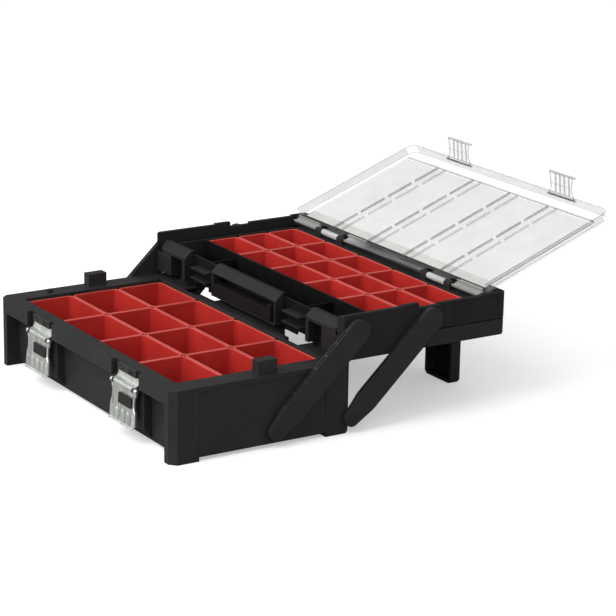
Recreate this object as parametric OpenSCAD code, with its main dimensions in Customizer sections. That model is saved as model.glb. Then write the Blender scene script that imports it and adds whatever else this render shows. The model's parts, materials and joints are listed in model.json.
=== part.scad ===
// Cantilever tool box, shown open: a lower case with lift-out bins, an upper tray on four
// parallel arms, and a clear lid that hinges at the back of the tray.
// Millimetres. +X is the box's right side, +Y its back, +Z up. The origin is on the floor,
// under the middle of the open box. Inside the modules Y = 0 is the lower case's front face.

/* [Lower case] */
// Width of the case
case_w = 560; // [500:5:620]
// Depth of the case, front face to back face
case_d = 304; // [270:1:340]
// Height of the case's rim above the floor
case_h = 111; // [108:1:126]
// Thickness of the moulded walls
wall = 3; // [2:0.5:4]
// Gap between the floor and the skirt between the corner feet
foot_drop = 6; // [3:1:9]
// Width of a corner post, along X
post_w = 22; // [16:1:26]
// Depth of a corner post, along Y
post_d = 45; // [35:1:50]
// Corner bevel seen from above
corner_cut = 10; // [4:1:14]
// Depth of the recess between the front posts
front_recess = 22.5; // [16:0.5:22.5]
// Height of the band that runs along the front under the rim
band_h = 24; // [18:1:30]

/* [Lower bins] */
// Distance from the case's side face to the lower bins' tub
low_side = 35; // [34:0.5:42]
// Distance from the case's back face to the lower bins' tub
low_back = 32; // [31:0.5:40]
// Height of the lower bins' rims above the floor
low_top = 106; // [96:1:107]

/* [Upper tray] */
// Distance that the tray travels back from closed to open
travel = 280; // [270:2:290]
// Gap between the case's rim and the closed tray's skirt
tray_gap = 1; // [0.5:0.5:2]
// Height of the tray's side walls
tray_h = 69; // [68:1:76]
// Height of the tray's front wall, below its side walls
front_step = 11.5; // [11:0.5:13]
// Depth of the tool compartment
tool_d = 54.5; // [46:0.5:56]

/* [Upper bins] */
// Distance from the tray's side face to the upper bins' tub
up_side = 33; // [32.5:0.5:40]
// Distance from the tray's back face to the upper bins' tub
up_back = 50.9; // [50:0.1:56]
// Height of an upper bin
up_bin_h = 42; // [34:1:42]
// Wall of a bin
bin_wall = 1.6; // [1.2:0.2:2.4]
// Corner radius of a bin
bin_r = 7; // [4:1:9]
// Clear gap round a bin
bin_gap = 0.5; // [0.3:0.1:0.8]

/* [Arms] */
// Distance of the front arms' upper pivots from the tray's front face
arm_front = 30; // [24:1:36]
// Distance of the rear arms' lower pivots from the case's back face
arm_back = 4; // [4:1:20]
// Height of the lower pivots above the floor
pivot_z = 24; // [20:1:30]
// Height of the upper pivots above the lower pivots, open and closed
arm_rise = 132; // [131:1:138]
// Width of an arm at its upper end
arm_w = 37; // [30:1:40]
// Width of an arm at its lower end
arm_w_low = 25; // [22:1:28]
// Thickness of an arm
arm_t = 8; // [6:0.5:10]
// Radius of a pivot pin
pin_r = 5; // [4:0.5:6]
// Radial running clearance of a pin
run_fit = 0.08; // [0.05:0.01:0.1]
// Radial clearance where an arm meets the tray without carrying its hinge
loose_fit = 0.3; // [0.2:0.05:0.5]

/* [Lid] */
// Open angle of the lid above the horizontal
lid_open = 20.5; // [16:0.5:30]
// Distance of the lid's hinge from the tray's back face
hinge_in = 41; // [40:0.5:43]
// Height of the lid's hinge below the tray's side walls
hinge_down = 8; // [7:0.5:9]
// Thickness of the lid
lid_t = 2.5; // [2:0.25:3]
// Depth of the lid's skirt, outside
lid_skirt = 16; // [16:0.5:20]
// Corner radius of the lid
lid_r = 15; // [8:1:20]
// Depth of the lid's stiffening ribs
rib_h = 4; // [2:0.5:4.5]
// Lean of a lid clip, away from shut
clip_lean = 15; // [5:1:40]
// Length of a lid clip below its pin
clip_len = 38; // [36:1:39]

/* [Latches] */
// Distance of a latch from the middle of the box
latch_x = 140; // [137:0.5:143]
// Width of a latch plate
latch_w = 76; // [60:2:78]
// Height of a latch's pin above the floor
latch_z = 82; // [80:1:84]
// Length of a latch plate below its pin
latch_len = 58; // [52:1:58]
// Angle by which a latch plate stands off as it hangs
latch_lean = 4; // [2:0.5:8]

/* [Handle and stand] */
// Width of the carrying handle
handle_w = 180; // [140:4:184]
// Height of the carrying handle
handle_h = 25; // [20:1:26]
// Distance from the middle of the box to a rear leg's inner face
leg_in = 95; // [80:1:110]
// Width of a rear leg
leg_w = 70; // [50:2:74]
// Thickness of a rear leg
leg_t = 18; // [14:1:20]
// Height of the stand's rails
rail_h = 24.5; // [20:0.5:25]

/* [Hidden] */

$fn = 48;
eps = 0.02;
past = 5; // how far a cut runs past the face it opens

// lower case
case_x = case_w / 2;
low_cols = 4;
low_rows = 3;
seat_gap = 0.2; // between a piece and the seat that it stands on
tub_x = case_x - low_side;
tub_y0 = front_recess + wall + 1;
tub_y1 = case_d - low_back;
low_y0 = tub_y0 + bin_gap;
low_pitch_x = 2 * (tub_x - 2 * bin_gap) / low_cols;
low_pitch_y = (tub_y1 - bin_gap - low_y0) / low_rows;
floor_z = foot_drop + wall;
low_z0 = floor_z + seat_gap;
band_z = case_h - band_h;
side_set = 1; // how far the side panels lie behind the posts
block_w = 17; // blocks on the rim, which reach up into the closed tray
block_d = 32;
block_z = 21;
block_x0 = case_x - 24;
block_y0 = 146;
peg_at = [case_x - 12, 74];
peg_size = [8, 10, 4];
notch_x = leg_in + 39; // finger notch in the rear rim
notch_w = 40;
notch_h = 7;
pedestal_z = foot_drop + 19;

// latches
latch_pocket = 9; // depth of the recess behind a latch
latch_pin_r = 2;
latch_y = -1; // the latch pin's place in front of the case
barrel_r = 4;
plate_t = 2;
lip_h = 3;
lip_out = 4;
pad_w = 40;
pad_h = 16.5;
pad_t = 2.5;
pad_down = 11.5;
pad_aside = 10; // both pads sit to the right of their plate's middle
bracket_y = latch_y + plate_t / 2 + pad_t + 0.7; // clear of the pad of a raised plate
pocket_half = 42;

// arms
arm_dy = travel / 2;
rear_p = [case_d - arm_back, pivot_z];
front_p = [arm_dy + arm_front, pivot_z];
arm_len = sqrt(arm_dy * arm_dy + arm_rise * arm_rise);
arm_tilt = atan2(arm_dy, arm_rise);
arm_x0 = case_x + 1.2;
arm_x1 = arm_x0 + arm_t;
head_r = pin_r + 3;
head_t = 1.6;
pin_in = 6.5; // length of a pin inside the wall
groove_side = 2.3; // grooves along an arm's edges
groove_depth = 3.5;
groove_pitch = 24;
shoulder = 34; // distance over which an arm widens

// tray, in its open place
tray_y = travel;
tray_y1 = tray_y + case_d;
tray_z = case_h + tray_gap;
tray_top = tray_z + tray_h;
front_top = tray_top - front_step;
rim_w = 7.5;
rim_in = case_x - rim_w;
up_cols = 5;
up_rows = 3;
up_x = case_x - up_side;
face_y = tray_y + 1.8; // front frames and handle housing
recess_top = front_top - 6;
tray_floor = tray_z + 7 + wall;
up_z0 = tray_floor + seat_gap;
channel_z = tray_z + 38; // floor of the channel for the lid's skirt
ledge_z = 1.5;
deck_z = tray_top - 16; // deck at the tray's back
groove_z = tray_z + 26;
rail_y0 = rear_p[0] + arm_dy; // the rear arms' upper pivots
dip_y = [rail_y0 - 20, rail_y0 + 18]; // dip in the rim over a rear arm
panel_end = dip_y[0] - 28; // end of the smooth front part of a side wall
rear_rim_z = tray_top - 3;
ridge_pitch = 27; // ribs between the sunk panels of a side wall
ridge_count = 3;
rear_panel_y = tray_y1 - 12 - (ridge_count + 1) * ridge_pitch;
sunk = 1;
frame_in = latch_x + pocket_half + 1;
gap_in = frame_in - 49; // gap under the front wall, below a latch
gap_w = 40;
niche_in = 9; // niche in a corner frame
niche_w = 36;
niche_h = 34;
housing_x = latch_x - pocket_half - 1; // side of the handle's housing
keeper_y = tray_y + 2;
keeper_z = latch_z + latch_len - 9;
clip_ledge_z = keeper_z + 16;

// handle
handle_z = tray_z + 14;
handle_t = 14;
handle_front = tray_y - 2.5;
handle_pivot = [face_y + 4.5, handle_z + handle_h - 7];
handle_arm = 9;
handle_grip = handle_h - 8;
handle_pin_r = 3;
handle_sweep = norm([handle_front - handle_pivot[0], handle_z + handle_h - handle_pivot[1]]) + 0.7;
pocket_y = handle_pivot[0] + handle_sweep;
pocket_top = handle_pivot[1] + handle_sweep;
pocket_side = 2; // gap beside the handle

// tray, from the tool compartment back
recess_y = pocket_y; // wall behind the latches and the lid clips
tool_y0 = pocket_y + wall;
tool_y1 = tool_y0 + tool_d;
up_y0 = tool_y1 + wall + bin_gap;
up_y1 = tray_y1 - up_back;
up_pitch_x = 2 * (up_x - 2 * bin_gap) / up_cols;
up_pitch_y = (up_y1 - bin_gap - up_y0) / up_rows;
face_cut = front_top - pocket_top - wall / 2; // bevel along the top of the front
divider_x = 143;
divider_t = 2;

// lid, in a frame at its hinge: -Y forward and Z up when it is shut
hinge_y = tray_y1 - hinge_in;
hinge_z = tray_top - hinge_down;
lid_in = 2.5; // the lid's inner face lies this far below the hinge when shut
lid_len = hinge_y - tray_y + 1.2;
lid_x = rim_in - 2.5;
lid_start = 8;
lug_w = 16;
lug_mid = [120, 185];
hinge_pin_r = 2;
knuckle_r = 5.2;
rib_pitch_x = up_pitch_x * 1.0325;
rib_pair = 10.5;
rib_w = 2;
rib_seg = up_pitch_y - 12;
rib_start = hinge_y - up_y1 + bin_gap + 6;
cross_rib = rib_start + up_rows * up_pitch_y + rib_seg + 1.2;
clip_pin_y = lid_len + 3.2;
clip_pin_z = -6;
clip_pin_r = 1.5;
clip_half = 32;
clip_t = 2.8;

// stand
rail_in = case_x - 22;
rail_pocket_y = tray_y + block_y0 + block_d + 4;
rail_skin = 5.5;
rail_top = tray_z + rail_h;
leg_y1 = tray_y1;
leg_y0 = leg_y1 - leg_t;
cross_y0 = tray_y1 - 22;
niche_y = leg_y0 - travel - 2;
niche_gap = 4;
screw_r = 1.9;
screw_head_r = 4;
post_at = [for (s = [-1, 1]) for (y = [rail_pocket_y + 14, cross_y0 - 12]) [s * (rail_in + 6), y]];
rear_post_x = 200;
rear_posts = [-rear_post_x, 0, rear_post_x];

// the origin: middle of the open box's outline, seen from above
function turned(p, a) = [p[0] * cos(a) - p[1] * sin(a), p[0] * sin(a) + p[1] * cos(a)];
front_most = latch_y - (plate_t / 2 + lip_out) * cos(latch_lean) - latch_len * sin(latch_lean);
clip_end = turned([-6, -clip_len], -clip_lean);
lid_end = turned([-clip_pin_y + clip_end[0], clip_pin_z + clip_end[1]], lid_open - 180);
lid_corner = turned([-lid_len, 0], lid_open - 180);
rear_most = hinge_y + max(lid_end[0], lid_corner[0]);
origin_y = (front_most + rear_most) / 2;

black = "#2b2b2d";
red = "#c23a36";
zinc = "#c9ccce";
clear = [0.86, 0.9, 0.92, 0.35];

// a box given by its two opposite corners
module span(a, b) {
    translate(a) cube(b - a);
}

// the same solid on the right and on the left
module both_sides() {
    children();
    mirror([1, 0, 0]) children();
}

module placed() {
    translate([0, -origin_y, 0]) children();
}

// rounded rectangle from the origin
module round_rect(w, d, r) {
    translate([r, 0]) square([w - 2 * r, d]);
    translate([0, r]) square([w, d - 2 * r]);
    for (x = [r, w - r]) for (y = [r, d - r]) translate([x, y]) circle(r);
}

// a cylinder along X
module rod(r, x0, x1, y, z) {
    translate([x0, y, z]) rotate([0, 90, 0]) cylinder(r = r, h = x1 - x0);
}

// outline of case and tray with bevelled corners, drawn in by inset all round
module outline(cut, inset = 0) {
    x = case_x - inset;
    y0 = inset;
    y1 = case_d - inset;
    c = max(0.5, cut - inset * (2 - sqrt(2)));
    polygon([[-x + c, y0], [x - c, y0], [x, y0 + c], [x, y1 - c], [x - c, y1], [-x + c, y1],
        [-x, y1 - c], [-x, y0 + c]]);
}

// ---- lower case ----

module base_feet(h) {
    linear_extrude(h) intersection() {
        outline(corner_cut);
        both_sides() for (y = [0, case_d - post_d])
            translate([case_x - post_w, y]) square([post_w, post_d]);
    }
}

module base_block() {
    translate([0, 0, foot_drop]) linear_extrude(case_h - foot_drop) outline(corner_cut);
    base_feet(case_h);
    both_sides() {
        span([block_x0, block_y0, case_h - eps],
            [block_x0 + block_w, block_y0 + block_d, case_h + block_z]);
    }
    translate([-peg_at[0], peg_at[1], case_h - eps]) cube(peg_size);
}

// hollows open from below, between the tub and the outer skin
module base_hollows() {
    top = case_h - wall;
    both_sides() {
        span([tub_x + wall, front_recess + wall, -past],
            [case_x - side_set - wall, case_d - corner_cut, top]);
        span([case_x - side_set, post_d, -past], [case_x + past, case_d - post_d, case_h - 8]);
    }
    span([-tub_x - wall - eps, tub_y1 + wall, -past], [tub_x + wall + eps, case_d - wall, top]);
    // inside the front posts
    translate([0, 0, -past]) linear_extrude(band_z + past) intersection() {
        outline(corner_cut, wall);
        both_sides() translate([case_x - post_w + wall, 0]) square([post_w, post_d]);
    }
}

module base_shell() color(black) placed() {
    difference() {
        union() {
            difference() {
                base_block();
                base_hollows();
                span([-case_x + post_w, -past, -past], [case_x - post_w, front_recess, band_z]);
                span([-case_x + post_w, wall, -past],
                    [case_x - post_w, front_recess, case_h - wall]);
            }
            base_feet(wall);
            both_sides() {
                latch_pedestal();
                span([latch_x - pocket_half - wall, 0, band_z],
                    [latch_x - pocket_half, latch_pocket + eps, case_h]);
                span([latch_x + pocket_half, 0, band_z],
                    [latch_x + pocket_half + wall, latch_pocket + eps, case_h]);
                for (s = [-1, 1]) latch_lug(latch_x + s * 30.5);
                // walls of the niche for a rear leg
                span([leg_in - niche_gap - wall, niche_y - wall, foot_drop],
                    [leg_in + leg_w + niche_gap + wall, case_d, case_h]);
                for (p = [front_p, rear_p])
                    intersection() {
                        rod(pin_r + 6, case_x - 18, case_x - side_set - eps, p[0], p[1]);
                        span([0, 0, foot_drop], [case_x, case_d, case_h]);
                    }
            }
        }
        span([-tub_x, tub_y0, floor_z], [tub_x, tub_y1, case_h + past]);
        both_sides() {
            span([latch_x - pocket_half, -past, -past],
                [latch_x + pocket_half, latch_pocket - eps, latch_z - 8]);
            difference() {
                span([latch_x - pocket_half, -past, -past],
                    [latch_x + pocket_half, latch_pocket, case_h + past]);
                for (s = [-1, 1]) latch_lug(latch_x + s * 30.5);
            }
            rod(latch_pin_r + 0.03, latch_x - pocket_half, latch_x + pocket_half, latch_y, latch_z);
            span([leg_in - niche_gap, niche_y, -past],
                [leg_in + leg_w + niche_gap, case_d + past, case_h + past]);
            span([notch_x, tub_y1 + wall, case_h - notch_h],
                [notch_x + notch_w, case_d + past, case_h + past]);
            // inside a latch pedestal
            span([latch_x - pocket_half + wall, latch_pocket + wall, -past],
                [latch_x + pocket_half - wall, front_recess, case_h - wall]);
            for (p = [front_p, rear_p])
                rod(pin_r + 0.03, case_x - pin_in - 0.2, case_x + past, p[0], p[1]);
        }
    }
}

// the case's front behind a latch, with a sloping underside
module latch_pedestal() {
    translate([latch_x - pocket_half, 0, 0]) rotate([90, 0, 90]) linear_extrude(2 * pocket_half)
        polygon([[latch_pocket, pedestal_z], [front_recess + eps, foot_drop + 2],
            [front_recess + eps, case_h], [latch_pocket, case_h]]);
}

// lug of the case that holds one end of a latch pin
module latch_lug(x) {
    w = 2.4;
    span([x - w, latch_y, latch_z - 4], [x + w, latch_pocket + eps, latch_z + 4]);
    rod(4, x - w, x + w, latch_y, latch_z);
}

// ---- latches ----

// black cap over a latch
module latch_bracket() {
    difference() {
        union() {
            span([latch_x - 27, bracket_y, case_h - 12], [latch_x + 27, latch_pocket, case_h - 1]);
        }
        for (x = [-14, 10])
            span([latch_x + x, 0, case_h - 9], [latch_x + x + 5, bracket_y + 2, case_h - 6]);
    }
}

// fixed leaf of a latch's hinge
module latch_leaf() {
    difference() {
        union() {
            rod(barrel_r, latch_x - 27, latch_x + 27, latch_y, latch_z);
            span([latch_x - 27, latch_y, latch_z], [latch_x + 27, latch_pocket - 1, latch_z + barrel_r]);
            span([latch_x - 27, latch_pocket - 3, latch_z - 4],
                [latch_x + 27, latch_pocket, case_h - 12.2]);
        }
        rod(latch_pin_r + run_fit, latch_x - 30, latch_x + 30, latch_y, latch_z);
    }
}

module latch_pin() {
    rod(latch_pin_r, latch_x - latch_w / 2 - 1, latch_x + latch_w / 2 + 1, latch_y, latch_z);
}

module latch_turned() {
    translate([latch_x, latch_y, latch_z]) rotate([-latch_lean, 0, 0]) children();
}

// the swinging plate, with its two barrels and the lip that snaps over the tray's keeper
module latch_plate() {
    half = latch_w / 2;
    ear = half - 33.2;
    latch_turned() difference() {
        union() {
            for (s = [-1, 1]) scale([s, 1, 1]) translate([33.2, 0, 0]) {
                rod(barrel_r, 0, ear, 0, 0);
                span([0, -plate_t / 2, -barrel_r - 2], [ear, plate_t / 2, 0]);
            }
            rotate([90, 0, 0]) translate([0, 0, -plate_t / 2]) linear_extrude(plate_t)
                polygon([[-half, -barrel_r - 0.6], [half, -barrel_r - 0.6], [half - 5, -14],
                    [half - 5, -24], [half, -34], [half, -latch_len + 3],
                    [half - 3, -latch_len], [-half + 3, -latch_len], [-half, -latch_len + 3],
                    [-half, -34], [-half + 5, -24], [-half + 5, -14]]);
            span([-half + 4, -plate_t / 2 - lip_out, -latch_len],
                [half - 4, 0, -latch_len + lip_h]);
        }
        rod(latch_pin_r + run_fit, -half - 1, half + 1, 0, 0);
    }
}

module latch_pad(side) {
    latch_turned() translate([side * pad_aside - pad_w / 2, -plate_t / 2, -pad_down - pad_h])
        rotate([90, 0, 0]) linear_extrude(pad_t) round_rect(pad_w, pad_h, 3);
}

// ---- arms ----

module at_arm(p, x) {
    translate([x, p[0], p[1]]) rotate([-arm_tilt, 0, 0]) children();
}

// a straight arm from its lower pivot p; the case's pins turn in it, and the tray's pins too
module arm(p, upper_fit) {
    r0 = arm_w_low / 2;
    r1 = arm_w / 2;
    groove_count = floor((arm_len - shoulder - 10) / groove_pitch);
    at_arm(p, arm_x0) difference() {
        rotate([90, 0, 90]) {
            linear_extrude(arm_t) {
                circle(r0);
                translate([0, arm_len]) circle(r1);
                polygon([[-r0, 0], [r0, 0], [r1, shoulder], [r1, arm_len], [-r1, arm_len],
                    [-r1, shoulder]]);
            }
        }
        // lightening grooves along both edges, crossed by ribs
        for (s = [-1, 1]) for (i = [0 : groove_count - 1])
            translate([groove_side, s * r1 - groove_depth, shoulder + 4 + i * groove_pitch])
                cube([arm_t - 2 * groove_side, 2 * groove_depth, groove_pitch - 4]);
        rod(pin_r + run_fit, -1, arm_t + 1, 0, 0);
        rod(head_r + 0.3, arm_t - head_t - 0.2, arm_t + 1, 0, 0);
        rod(pin_r + upper_fit, -1, arm_t + 1, 0, arm_len);
        rod(head_r + 0.3, arm_t - head_t - 0.2, arm_t + 1, 0, arm_len);
    }
}

// a headed pin held in a side wall, through an arm
module pivot_pin(p) {
    rod(pin_r, case_x - pin_in, arm_x1 - head_t, p[0], p[1]);
    rod(head_r, arm_x1 - head_t - eps, arm_x1, p[0], p[1]);
}

module base_pivot_pins() color(black) placed() both_sides() for (p = [front_p, rear_p]) pivot_pin(p);

module tray_pivot_pins() color(black) placed() both_sides()
    for (p = [front_p, rear_p]) pivot_pin(p + [arm_dy, arm_rise]);

// ---- tray ----

module tray_block() {
    translate([0, tray_y, tray_z]) linear_extrude(tray_h) outline(corner_cut - 2);
}

// spaces above the floor: bins, tools, and the channels for the lid's skirt
module tray_upper_cuts() {
    z1 = tray_top + past;
    span([-up_x, up_y0 - bin_gap, tray_floor], [up_x, up_y1, z1]);
    span([-up_x, tool_y0, tray_floor], [up_x, tool_y1, z1]);
    both_sides() {
        span([up_x + wall, tool_y0, channel_z], [rim_in, hinge_y + 7, z1]);
        span([lid_x - 5, tray_y - past, channel_z], [rim_in, tool_y0 + eps, z1]);
    }
    span([-rim_in, tray_y - past, front_top], [rim_in, tool_y0 + eps, z1]);
    // bevel of the frames and the housing, and the lower wall between them
    translate([-rim_in, 0, 0]) rotate([90, 0, 90]) linear_extrude(2 * rim_in)
        polygon([[face_y - 1, front_top - face_cut - 1], [face_y + face_cut + 1, front_top + 1],
            [face_y - 1, front_top + 1]]);
    both_sides() span([housing_x, tray_y, recess_top], [frame_in, tool_y0 + eps, z1]);
    span([-rim_in, tool_y0 - eps, deck_z + ledge_z], [rim_in, up_y1 + wall, z1]);
    span([-rim_in, up_y1, deck_z], [rim_in, tray_y1 - wall, z1]);
    span([-rim_in, tray_y1 - wall - eps, tray_top - 3], [rim_in, tray_y1 + past, z1]);
    // groove for the lid's skirt
    translate([0, hinge_y, channel_z]) linear_extrude(z1 - channel_z) difference() {
        lid_outline(-0.8);
        lid_outline(lid_t + 0.8);
    }
}

// outside of the tray's side walls: a lower rim behind the front panel, and sunk panels
module tray_side_cuts() {
    both_sides() {
        difference() {
            span([rim_in - past, panel_end, rear_rim_z],
                [case_x + past, tray_y1 + past, tray_top + past]);
            span([rim_in - past, tray_y1 - 42, rear_rim_z - 1],
                [case_x + past, tray_y1 - 12, tray_top - 1]);
        }
        span([rim_in - past, dip_y[0], rear_rim_z - 3], [case_x + past, dip_y[1], tray_top + past]);
        for (i = [0 : ridge_count]) span([case_x - sunk, rear_panel_y + i * ridge_pitch, groove_z + 3],
            [case_x + past, rear_panel_y + (i + 1) * ridge_pitch - 3.5, rear_rim_z - 4]);
    }
}

// spaces below: the stand's place, and hollows between the tub and the skin
module tray_lower_cuts() {
    z0 = tray_z - past;
    both_sides() {
        span([up_x + wall, tool_y0 - 14, z0], [case_x - wall, tray_y1 - wall, channel_z - wall]);
        span([up_x + wall, rail_y0, z0], [case_x + past, tray_y1 + past, groove_z]);
        span([up_x + wall, up_y1 + wall, z0], [case_x - wall, tray_y1 - wall, deck_z - wall]);
    }
    span([-up_x - wall - eps, up_y1 + wall, z0], [up_x + wall + eps, tray_y1 - wall, deck_z - wall]);
    span([-case_x - past, up_y1 + wall, z0], [case_x + past, tray_y1 + past, groove_z]);
    span([-rim_in, tray_y - past, z0], [rim_in, tool_y0 - wall, tray_floor - wall]);
    span([-up_x - wall, tool_y0 - 14, z0], [up_x + wall, up_y1 + wall, tray_floor - wall]);
    // hollow behind a frame
    both_sides() span([frame_in + wall, face_y + wall, z0],
        [rim_in - 4, tool_y0 - wall, front_top - face_cut - wall]);
}

// front of the tray: recesses for the clips and frames with niches at the corners
module tray_front_cuts() {
    both_sides() {
        span([housing_x, tray_y - past, tray_z - past], [frame_in, recess_y, tray_top + past]);
        span([frame_in, tray_y - past, tray_z - past], [rim_in, face_y, tray_top + past]);
        span([frame_in + niche_in, tray_y - past, tray_z + 7],
            [frame_in + niche_in + niche_w, recess_y, tray_z + 7 + niche_h]);
        span([gap_in, tray_y - past, tray_z - past], [gap_in + gap_w, recess_y, tray_floor + 2]);
    }
    span([-housing_x - eps, tray_y - past, tray_z - past], [housing_x + eps, face_y, tray_top + past]);
}

// space that the handle folds into
module handle_pocket() {
    x = handle_w / 2 + pocket_side;
    span([-x, face_y - past, handle_z - 3], [x, pocket_y, pocket_top]);
}

module hinge_lug(x) {
    span([x - lug_w / 2, hinge_y - 5.5, deck_z - 1], [x + lug_w / 2, hinge_y + 5.5, hinge_z]);
    rod(5.5, x - lug_w / 2, x + lug_w / 2, hinge_y, hinge_z);
}

module tray_shell() color(black) placed() {
    difference() {
        union() {
            difference() {
                tray_block();
                tray_upper_cuts();
                tray_lower_cuts();
                tray_side_cuts();
                tray_front_cuts();
            }
            both_sides() {
                span([rim_in, panel_end, channel_z + 2], [case_x, dip_y[0], tray_top + 2]);
                // lip under the front wall
                span([-eps, recess_y, tray_z + 1], [gap_in, tool_y0, tray_floor]);
                span([gap_in + gap_w, recess_y, tray_z + 1], [rim_in, tool_y0, tray_floor]);
                // sides of a corner niche
                for (x = [frame_in + niche_in - wall, frame_in + niche_in + niche_w])
                    span([x, face_y, tray_z + 7], [x + wall, recess_y + eps, tray_z + 7 + niche_h]);
                // keepers for a latch plate and for a lid clip
                span([latch_x - 25, keeper_y, keeper_z], [latch_x + 25, recess_y + eps, keeper_z + 3]);
                span([latch_x - 25, keeper_y, clip_ledge_z],
                    [latch_x + 25, recess_y + eps, clip_ledge_z + 3]);
                for (x = lug_mid) hinge_lug(x);
            }
        }
        handle_pocket();
        both_sides() {
            for (p = [front_p, rear_p])
                rod(pin_r + 0.03, case_x - pin_in - 0.2, case_x + past, p[0] + arm_dy, p[1] + arm_rise);
            rod(hinge_pin_r + 0.03, lug_mid[0] - lug_w, lug_mid[1] + lug_w, hinge_y, hinge_z);
            rod(handle_pin_r + 0.03, handle_w / 2, housing_x + past, handle_pivot[0], handle_pivot[1]);
        }
        for (p = post_at) translate([p[0], p[1], channel_z - wall - 1]) cylinder(r = screw_r + 0.03, h = 6);
        for (x = rear_posts)
            translate([x, cross_y0 + 8, deck_z - wall - 1]) cylinder(r = screw_r + 0.03, h = 6);
    }
}

// the stand under the tray's back: two side rails, a cross rail and two legs
module stand_leg() {
    c = 5;
    difference() {
        translate([leg_in, leg_y1, 0]) rotate([90, 0, 0]) linear_extrude(leg_t)
            polygon([[c, 0], [leg_w - c, 0], [leg_w, c], [leg_w, rail_top], [0, rail_top], [0, c]]);
        span([leg_in + wall + 2, leg_y0 - past, wall + 3],
            [leg_in + leg_w - wall - 2, leg_y1 - wall, tray_z - 4]);
    }
}

module tray_stand() color(black) placed() {
    difference() {
        union() {
            both_sides() {
                span([rail_in, rail_y0, tray_z], [case_x, tray_y1, rail_top]);
                stand_leg();
            }
            span([-case_x, cross_y0, tray_z], [case_x, tray_y1, rail_top]);
            for (p = post_at) translate([p[0] - 6, p[1] - 8, rail_top - 1])
                cube([12, 16, channel_z - wall - rail_top + 1]);
            for (x = rear_posts) translate([x - 8, cross_y0, rail_top - 1])
                cube([16, 16, deck_z - wall - rail_top + 1]);
        }
        both_sides() {
            // clears the block on the case's rim
            span([0, rail_y0 - past, tray_z - past], [case_x - rail_skin, rail_pocket_y, rail_top + past]);
            span([leg_in + leg_w + 6, cross_y0 + wall, tray_z - past],
                [rail_in - 6, tray_y1 - wall, rail_top - wall]);
            translate([case_x, tray_y1, 0]) rotate([0, 0, 45])
                cube([12, 12, 2 * tray_top], center = true);
        }
        span([-leg_in + 6, cross_y0 + wall, tray_z - past], [leg_in - 6, cross_y0 + 4, rail_top - 8]);
        for (p = post_at) screw_hole(p, channel_z);
        for (x = rear_posts) screw_hole([x, cross_y0 + 8], deck_z);
    }
}

module screw_hole(p, top) {
    translate([p[0], p[1], tray_z - 1]) cylinder(r = screw_head_r + 0.3, h = 8);
    translate([p[0], p[1], tray_z]) cylinder(r = screw_r + 0.1, h = top - tray_z);
}

module screw(p, top) {
    translate([p[0], p[1], tray_z + 4]) cylinder(r = screw_head_r, h = 3);
    translate([p[0], p[1], tray_z + 6]) cylinder(r = screw_r, h = top - tray_z - 6.5);
}

module stand_screws() color(zinc) placed() {
    for (p = post_at) screw(p, channel_z);
    for (x = rear_posts) screw([x, cross_y0 + 8], deck_z);
}

module tool_divider() {
    span([divider_x - divider_t / 2, tool_y0 + 0.1, up_z0],
        [divider_x + divider_t / 2, tool_y1 - 0.1, deck_z - 6]);
}

// ---- handle ----

module carry_handle() color(black) placed() {
    half = handle_w / 2;
    y1 = handle_front + handle_t;
    z1 = handle_z + handle_h;
    difference() {
        span([-half, handle_front, handle_z], [half, y1, z1]);
        span([-half + handle_arm, handle_front - past, handle_z + handle_grip],
            [half - handle_arm, y1 + past, z1 + past]);
        both_sides() rod(handle_pin_r + run_fit, half - handle_arm - 1, half + 1,
            handle_pivot[0], handle_pivot[1]);
    }
}

module handle_pins() color(black) placed() both_sides()
    rod(handle_pin_r, handle_w / 2 - handle_arm, housing_x - 0.5, handle_pivot[0], handle_pivot[1]);

// ---- lid ----

module lid_placed() {
    placed() translate([0, hinge_y, hinge_z]) rotate([lid_open - 180, 0, 0]) children();
}

module lid_outline(inset) {
    w = lid_x - inset;
    translate([-w, -lid_len + inset]) difference() {
        round_rect(2 * w, lid_len + 2 * lid_r, lid_r - inset);
        translate([-1, lid_len - inset - lid_start]) square([2 * w + 2, 3 * lid_r]);
    }
}

module lid_ribs() {
    both_sides() for (i = [0.5, 1.5]) for (side = [-1, 1]) for (k = [0 : up_rows])
        translate([i * rib_pitch_x + side * rib_pair - rib_w / 2, -rib_start - k * up_pitch_y - rib_seg,
            -lid_in - rib_h])
            cube([rib_w, rib_seg, rib_h + eps]);
    span([-lid_x + lid_r, -cross_rib - rib_w, -lid_in - 2.5], [lid_x - lid_r, -cross_rib, -lid_in + eps]);
}

module lid() color(clear) lid_placed() {
    difference() {
        union() {
            translate([0, 0, -lid_in]) linear_extrude(lid_t) lid_outline(0);
            translate([0, 0, lid_t - lid_in - lid_skirt]) linear_extrude(lid_skirt - eps) difference() {
                lid_outline(0);
                lid_outline(lid_t);
                translate([-lid_x - 1, -lid_start - 6]) square([2 * lid_x + 2, 30]);
            }
            lid_ribs();
            both_sides() {
                rod(knuckle_r, lug_mid[0] + lug_w / 2 + 1.5, lug_mid[1] - lug_w / 2 - 1.5, 0, 0);
                span([lug_mid[0] + lug_w / 2 + 1.5, -lid_start - 1, -lid_in],
                    [lug_mid[1] - lug_w / 2 - 1.5, 0, lid_t - lid_in]);
                for (s = [-1, 1]) clip_lug(s);
            }
        }
        both_sides() {
            for (x = lug_mid) span([x - lug_w / 2 - 1.5, -14, -20], [x + lug_w / 2 + 1.5, 10, 20]);
            rod(hinge_pin_r + run_fit, lug_mid[0], lug_mid[1], 0, 0);
            rod(clip_pin_r + 0.03, latch_x - clip_half - 8, latch_x + clip_half + 8, -clip_pin_y,
                clip_pin_z);
        }
    }
}

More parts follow.
